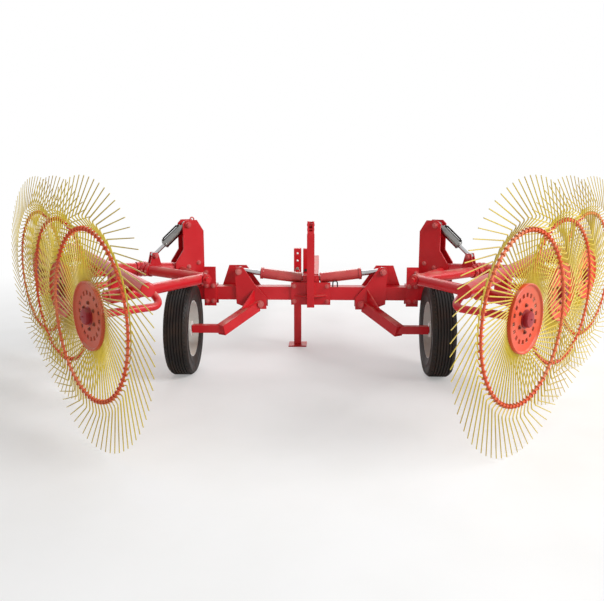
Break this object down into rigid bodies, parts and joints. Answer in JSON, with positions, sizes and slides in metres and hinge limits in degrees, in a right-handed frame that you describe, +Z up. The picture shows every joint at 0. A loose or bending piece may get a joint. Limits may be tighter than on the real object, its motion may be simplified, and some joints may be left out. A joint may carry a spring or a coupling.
{
  "type": "wheel rake",
  "caption": "Towed V-type finger-wheel hay rake: hydraulic wheel arms lower the road wheels, and tined raking wheels hang on two wings hinged to a red cross-beam.",
  "frame": {"origin": "on the ground under the middle of the machine, below the cross-beam", "axes": "+X to the right, +Y in the direction of travel, +Z up"},
  "size_m": [4.9342, 4.4341, 1.4025],
  "materials": {
    "frame_red": "crimson gloss paint",
    "barrel_red": "salmon-red gloss paint",
    "rod_chrome": "polished hard chrome",
    "barrel_grey": "dark grey paint",
    "tyre_black": "black rubber",
    "rim_white": "off-white paint",
    "tine_yellow": "yellow paint",
    "hub_orange": "orange-red paint"
  },
  "bodies": {
    "frame": {"cross_beam": "frame_red", "centre_mast": "frame_red", "drawbar": "frame_red", "stand_sleeve": "frame_red", "tower_left": "frame_red", "tower_right": "frame_red", "hinge_shaft_left": "frame_red", "hinge_shaft_right": "frame_red"},
    "stand": {"stand_leg": "frame_red"},
    "arm_left": {"wheel_arm_left": "frame_red"},
    "road_wheel_left": {"tyre_left": "tyre_black", "road_rim_left": "rim_white"},
    "lift_barrel_left": {"lift_barrel_left": "barrel_red"},
    "lift_rod_left": {"lift_rod_left": "rod_chrome"},
    "wing_left": {"wing_boom_left": "frame_red", "wing_lift_arm_left": "frame_red", "wing_brace_front_left": "frame_red", "wing_brace_rear_left": "frame_red", "rake_crank_1_left": "frame_red", "rake_crank_2_left": "frame_red", "rake_crank_3_left": "frame_red"},
    "wing_barrel_left": {"wing_barrel_left": "barrel_grey"},
    "wing_rod_left": {"wing_rod_left": "rod_chrome"},
    "rake_wheel_1_left": {"rake_tines_1_left": "tine_yellow", "rake_hoop_1_left": "hub_orange", "rake_hub_1_left": "hub_orange"},
    "rake_wheel_2_left": {"rake_tines_2_left": "tine_yellow", "rake_hoop_2_left": "hub_orange", "rake_hub_2_left": "hub_orange"},
    "rake_wheel_3_left": {"rake_tines_3_left": "tine_yellow", "rake_hoop_3_left": "hub_orange", "rake_hub_3_left": "hub_orange"},
    "arm_right": {"wheel_arm_right": "frame_red"},
    "road_wheel_right": {"tyre_right": "tyre_black", "road_rim_right": "rim_white"},
    "lift_barrel_right": {"lift_barrel_right": "barrel_red"},
    "lift_rod_right": {"lift_rod_right": "rod_chrome"},
    "wing_right": {"wing_boom_right": "frame_red", "wing_lift_arm_right": "frame_red", "wing_brace_front_right": "frame_red", "wing_brace_rear_right": "frame_red", "rake_crank_1_right": "frame_red", "rake_crank_2_right": "frame_red", "rake_crank_3_right": "frame_red"},
    "wing_barrel_right": {"wing_barrel_right": "barrel_grey"},
    "wing_rod_right": {"wing_rod_right": "rod_chrome"},
    "rake_wheel_1_right": {"rake_tines_1_right": "tine_yellow", "rake_hoop_1_right": "hub_orange", "rake_hub_1_right": "hub_orange"},
    "rake_wheel_2_right": {"rake_tines_2_right": "tine_yellow", "rake_hoop_2_right": "hub_orange", "rake_hub_2_right": "hub_orange"},
    "rake_wheel_3_right": {"rake_tines_3_right": "tine_yellow", "rake_hoop_3_right": "hub_orange", "rake_hub_3_right": "hub_orange"}
  },
  "joints": [
    {"name": "stand_slide", "type": "slide", "parent": "frame", "child": "stand", "axis": [0, 0, 1], "range_m": [0, 0.3]},
    {"name": "wheel_arm_left", "type": "hinge", "parent": "frame", "child": "arm_left", "pos_m": [-0.38, 0, 0.455], "axis": [0, -1, 0], "range_deg": [0, 16]},
    {"name": "lift_barrel_left", "type": "hinge", "parent": "frame", "child": "lift_barrel_left", "pos_m": [-0.036, 0, 0.64], "axis": [0, -1, 0], "range_deg": [0, 6.28]},
    {"name": "lift_rod_left", "type": "slide", "parent": "lift_barrel_left", "child": "lift_rod_left", "axis": [-0.9928, 0, 0.1202], "range_m": [0, 0.05914]},
    {"name": "road_wheel_left", "type": "hinge", "parent": "arm_left", "child": "road_wheel_left", "pos_m": [-0.9, -0.36, 0.33], "axis": [1, 0, 0], "continuous": true},
    {"name": "wing_left", "type": "hinge", "parent": "frame", "child": "wing_left", "pos_m": [-1, 0, 0.71], "axis": [-0.5, 0.866, 0], "range_deg": [0, 16]},
    {"name": "wing_barrel_left", "type": "hinge", "parent": "frame", "child": "wing_barrel_left", "pos_m": [-0.9515, 0.028, 1.046], "axis": [-0.5, 0.866, 0], "range_deg": [0, 2.18]},
    {"name": "wing_rod_left", "type": "slide", "parent": "wing_barrel_left", "child": "wing_rod_left", "axis": [0.6479, 0.374, 0.6636], "range_m": [0, 0.06266]},
    {"name": "rake_spin_1_left", "type": "hinge", "parent": "wing_left", "child": "rake_wheel_1_left", "pos_m": [-1.085, -1.7, 0.703], "axis": [0.7373, 0.6756, 0], "continuous": true},
    {"name": "rake_spin_2_left", "type": "hinge", "parent": "wing_left", "child": "rake_wheel_2_left", "pos_m": [-1.5385, -0.91451, 0.703], "axis": [0.7373, 0.6756, 0], "continuous": true},
    {"name": "rake_spin_3_left", "type": "hinge", "parent": "wing_left", "child": "rake_wheel_3_left", "pos_m": [-1.992, -0.12903, 0.703], "axis": [0.7373, 0.6756, 0], "continuous": true},
    {"name": "wheel_arm_right", "type": "hinge", "parent": "frame", "child": "arm_right", "pos_m": [0.38, 0, 0.455], "axis": [0, 1, 0], "range_deg": [0, 16]},
    {"name": "lift_barrel_right", "type": "hinge", "parent": "frame", "child": "lift_barrel_right", "pos_m": [0.036, 0, 0.64], "axis": [0, 1, 0], "range_deg": [0, 6.28]},
    {"name": "lift_rod_right", "type": "slide", "parent": "lift_barrel_right", "child": "lift_rod_right", "axis": [0.9928, 0, 0.1202], "range_m": [0, 0.05914]},
    {"name": "road_wheel_right", "type": "hinge", "parent": "arm_right", "child": "road_wheel_right", "pos_m": [0.9, -0.36, 0.33], "axis": [1, 0, 0], "continuous": true},
    {"name": "wing_right", "type": "hinge", "parent": "frame", "child": "wing_right", "pos_m": [1, 0, 0.71], "axis": [-0.5, -0.866, 0], "range_deg": [0, 16]},
    {"name": "wing_barrel_right", "type": "hinge", "parent": "frame", "child": "wing_barrel_right", "pos_m": [0.9515, 0.028, 1.046], "axis": [-0.5, -0.866, 0], "range_deg": [0, 2.18]},
    {"name": "wing_rod_right", "type": "slide", "parent": "wing_barrel_right", "child": "wing_rod_right", "axis": [-0.6479, 0.374, 0.6636], "range_m": [0, 0.06266]},
    {"name": "rake_spin_1_right", "type": "hinge", "parent": "wing_right", "child": "rake_wheel_1_right", "pos_m": [1.085, -1.7, 0.703], "axis": [-0.7373, 0.6756, 0], "continuous": true},
    {"name": "rake_spin_2_right", "type": "hinge", "parent": "wing_right", "child": "rake_wheel_2_right", "pos_m": [1.5385, -0.91451, 0.703], "axis": [-0.7373, 0.6756, 0], "continuous": true},
    {"name": "rake_spin_3_right", "type": "hinge", "parent": "wing_right", "child": "rake_wheel_3_right", "pos_m": [1.992, -0.12903, 0.703], "axis": [-0.7373, 0.6756, 0], "continuous": true}
  ],
  "couplings": [
    {"joint": "lift_barrel_left", "follows": "wheel_arm_left", "ratio": 0.38467},
    {"joint": "lift_rod_left", "follows": "wheel_arm_left", "m_per_rad": 0.20762},
    {"joint": "wing_barrel_left", "follows": "wing_left", "ratio": 0.1336},
    {"joint": "wing_rod_left", "follows": "wing_left", "m_per_rad": 0.21999},
    {"joint": "lift_barrel_right", "follows": "wheel_arm_right", "ratio": 0.38467},
    {"joint": "lift_rod_right", "follows": "wheel_arm_right", "m_per_rad": 0.20762},
    {"joint": "wing_barrel_right", "follows": "wing_right", "ratio": 0.1336},
    {"joint": "wing_rod_right", "follows": "wing_right", "m_per_rad": 0.21999}
  ]
}
